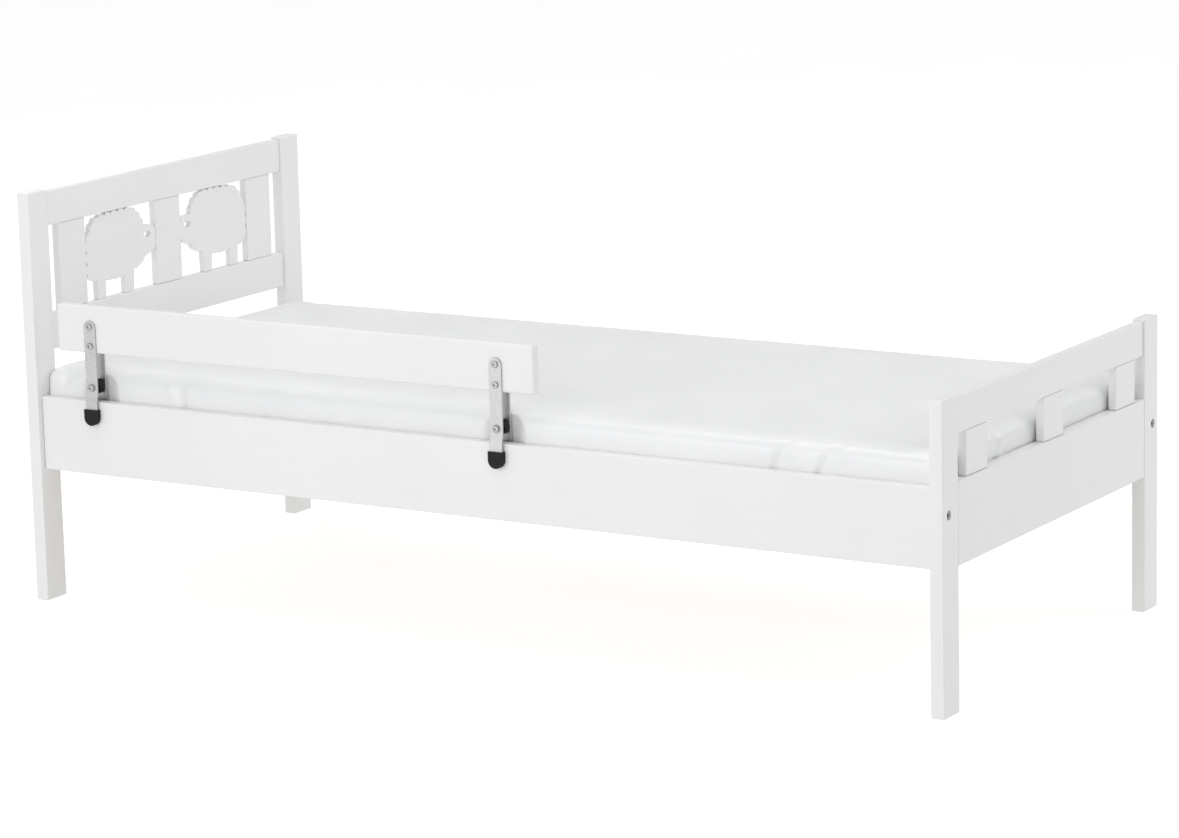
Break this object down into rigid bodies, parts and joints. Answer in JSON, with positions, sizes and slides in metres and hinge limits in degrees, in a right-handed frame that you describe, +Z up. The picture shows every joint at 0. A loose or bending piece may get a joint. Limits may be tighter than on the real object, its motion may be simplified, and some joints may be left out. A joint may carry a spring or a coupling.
{
  "type": "toddler bed",
  "caption": "Low white child's bed with an openwork sheep headboard, slatted base, mattress and a clamp-on guard rail board.",
  "frame": {"origin": "on the floor under the middle of the bed, at the centre of the bounding box's underside", "axes": "+X along the bed from head to foot, +Y from the guard rail side to the far side, +Z up"},
  "size_m": [1.65, 0.75, 0.67],
  "materials": {
    "white_lacquer": "satin white lacquer on wood",
    "birch": "planed, unfinished",
    "steel": "zinc-plated flat bar",
    "zinc": "zinc-plated fastener",
    "black_plastic": "moulded, matt",
    "mattress_fabric": "smooth white satin ticking"
  },
  "bodies": {
    "frame": {"head_post_near": "white_lacquer", "head_post_far": "white_lacquer", "head_top_rail": "white_lacquer", "head_mid_rail": "white_lacquer", "head_base_board": "white_lacquer", "head_slat_near": "white_lacquer", "head_slat_middle": "white_lacquer", "head_slat_far": "white_lacquer", "sheep_near": "white_lacquer", "sheep_far": "white_lacquer", "foot_post_near": "white_lacquer", "foot_post_far": "white_lacquer", "foot_top_rail": "white_lacquer", "foot_base_board": "white_lacquer", "foot_slat_near": "white_lacquer", "foot_slat_middle": "white_lacquer", "foot_slat_far": "white_lacquer", "side_rail_near": "white_lacquer", "side_rail_far": "white_lacquer", "slat_ledge_near": "birch", "slat_ledge_far": "birch", "bed_slat_01": "birch", "bed_slat_02": "birch", "bed_slat_03": "birch", "bed_slat_04": "birch", "bed_slat_05": "birch", "bed_slat_06": "birch", "bed_slat_07": "birch", "bed_slat_08": "birch", "bed_slat_09": "birch", "bed_slat_10": "birch", "bed_slat_11": "birch", "rail_bolt_head_near": "zinc", "rail_bolt_head_far": "zinc", "rail_bolt_foot_near": "zinc", "rail_bolt_foot_far": "zinc", "barrel_nut_head_near": "zinc", "barrel_nut_head_far": "zinc", "barrel_nut_foot_near": "zinc", "barrel_nut_foot_far": "zinc"},
    "guard": {"guard_board": "white_lacquer", "guard_outer_bar_left": "steel", "guard_outer_bar_right": "steel", "guard_inner_bar_left": "steel", "guard_inner_bar_right": "steel", "guard_outer_cap_left": "black_plastic", "guard_outer_cap_right": "black_plastic", "guard_inner_cap_left": "black_plastic", "guard_inner_cap_right": "black_plastic", "guard_screw_left_lower": "zinc", "guard_screw_left_upper": "zinc", "guard_screw_right_lower": "zinc", "guard_screw_right_upper": "zinc"},
    "clamp_carrier_left": {"clamp_washer_left": "zinc"},
    "clamp_screw_left": {"clamp_bolt_left": "zinc", "clamp_knob_left": "black_plastic"},
    "clamp_carrier_right": {"clamp_washer_right": "zinc"},
    "clamp_screw_right": {"clamp_bolt_right": "zinc", "clamp_knob_right": "black_plastic"},
    "mattress": {"mattress": "mattress_fabric"}
  },
  "joints": [
    {"name": "guard_lift", "type": "slide", "parent": "frame", "child": "guard", "axis": [0, 0, 1], "range_m": [0, 0.15]},
    {"name": "mattress_lift", "type": "slide", "parent": "frame", "child": "mattress", "axis": [0, 0, 1], "range_m": [0, 0.25]},
    {"name": "clamp_travel_left", "type": "slide", "parent": "guard", "child": "clamp_carrier_left", "axis": [0, -1, 0], "range_m": [0, 0.002]},
    {"name": "clamp_turn_left", "type": "hinge", "parent": "clamp_carrier_left", "child": "clamp_screw_left", "pos_m": [-0.697, -0.3701, 0.361], "axis": [0, -1, 0], "range_deg": [0, 720]},
    {"name": "clamp_travel_right", "type": "slide", "parent": "guard", "child": "clamp_carrier_right", "axis": [0, -1, 0], "range_m": [0, 0.002]},
    {"name": "clamp_turn_right", "type": "hinge", "parent": "clamp_carrier_right", "child": "clamp_screw_right", "pos_m": [0.071, -0.3701, 0.361], "axis": [0, -1, 0], "range_deg": [0, 720]}
  ],
  "couplings": [
    {"joint": "clamp_travel_left", "follows": "clamp_turn_left", "m_per_rad": 0.00015915},
    {"joint": "clamp_travel_right", "follows": "clamp_turn_right", "m_per_rad": 0.00015915}
  ]
}
